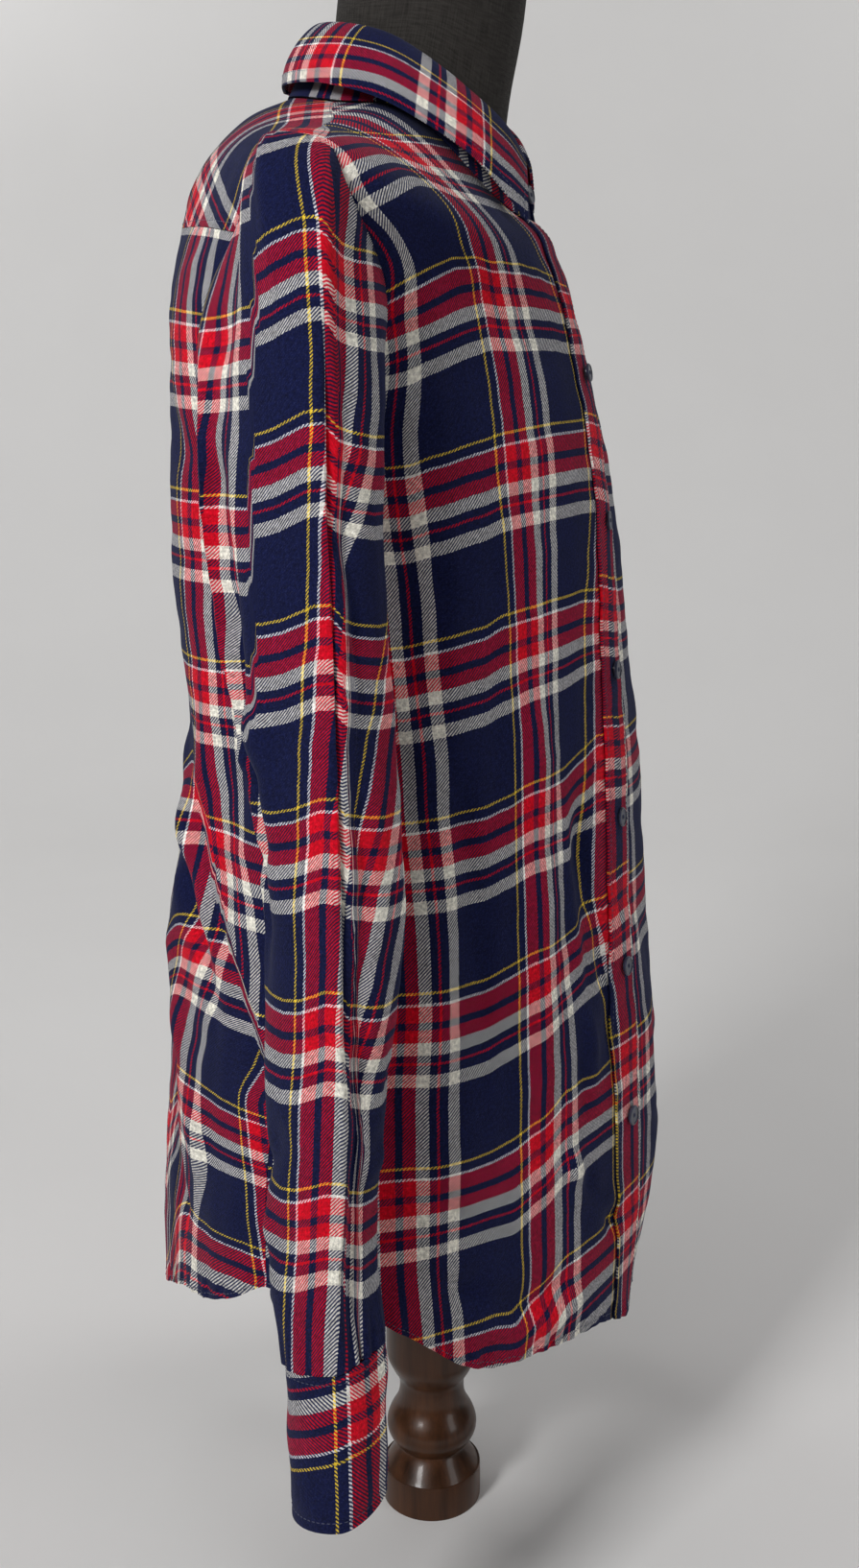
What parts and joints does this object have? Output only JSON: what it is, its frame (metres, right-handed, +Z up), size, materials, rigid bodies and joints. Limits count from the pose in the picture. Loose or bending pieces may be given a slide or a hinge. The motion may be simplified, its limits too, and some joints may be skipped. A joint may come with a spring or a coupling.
{
  "type": "flannel shirt on a dress form",
  "caption": "Long-sleeved flannel shirt with a turned-down collar, buttoned over a limbless dress form on a turned wooden foot.",
  "frame": {"origin": "centre of the round wooden foot, on the surface it stands on", "axes": "+Z up, front of the shirt towards -Y, the wearer's right towards -X"},
  "size_m": [0.4294, 0.2866, 0.932],
  "materials": {
    "flannel": "brushed plaid flannel, navy with burgundy, grey and yellow stripes",
    "linen": "plain charcoal linen",
    "walnut": "dark satin varnish",
    "button": "smooth, dark"
  },
  "bodies": {
    "root": {"wood_post": "walnut", "form_body": "linen", "front_right": "flannel", "front_left": "flannel", "button_band": "flannel", "back": "flannel", "yoke": "flannel", "collar_stand": "flannel", "collar_leaf": "flannel", "sleeve_right": "flannel", "sleeve_band_right": "flannel", "cuff_right": "flannel", "cuff_button_right": "button", "sleeve_left": "flannel", "sleeve_band_left": "flannel", "cuff_left": "flannel", "cuff_button_left": "button", "front_button_1": "button", "front_button_2": "button", "front_button_3": "button", "front_button_4": "button", "front_button_5": "button", "front_button_6": "button", "stand_button": "button"}
  },
  "joints": []
}
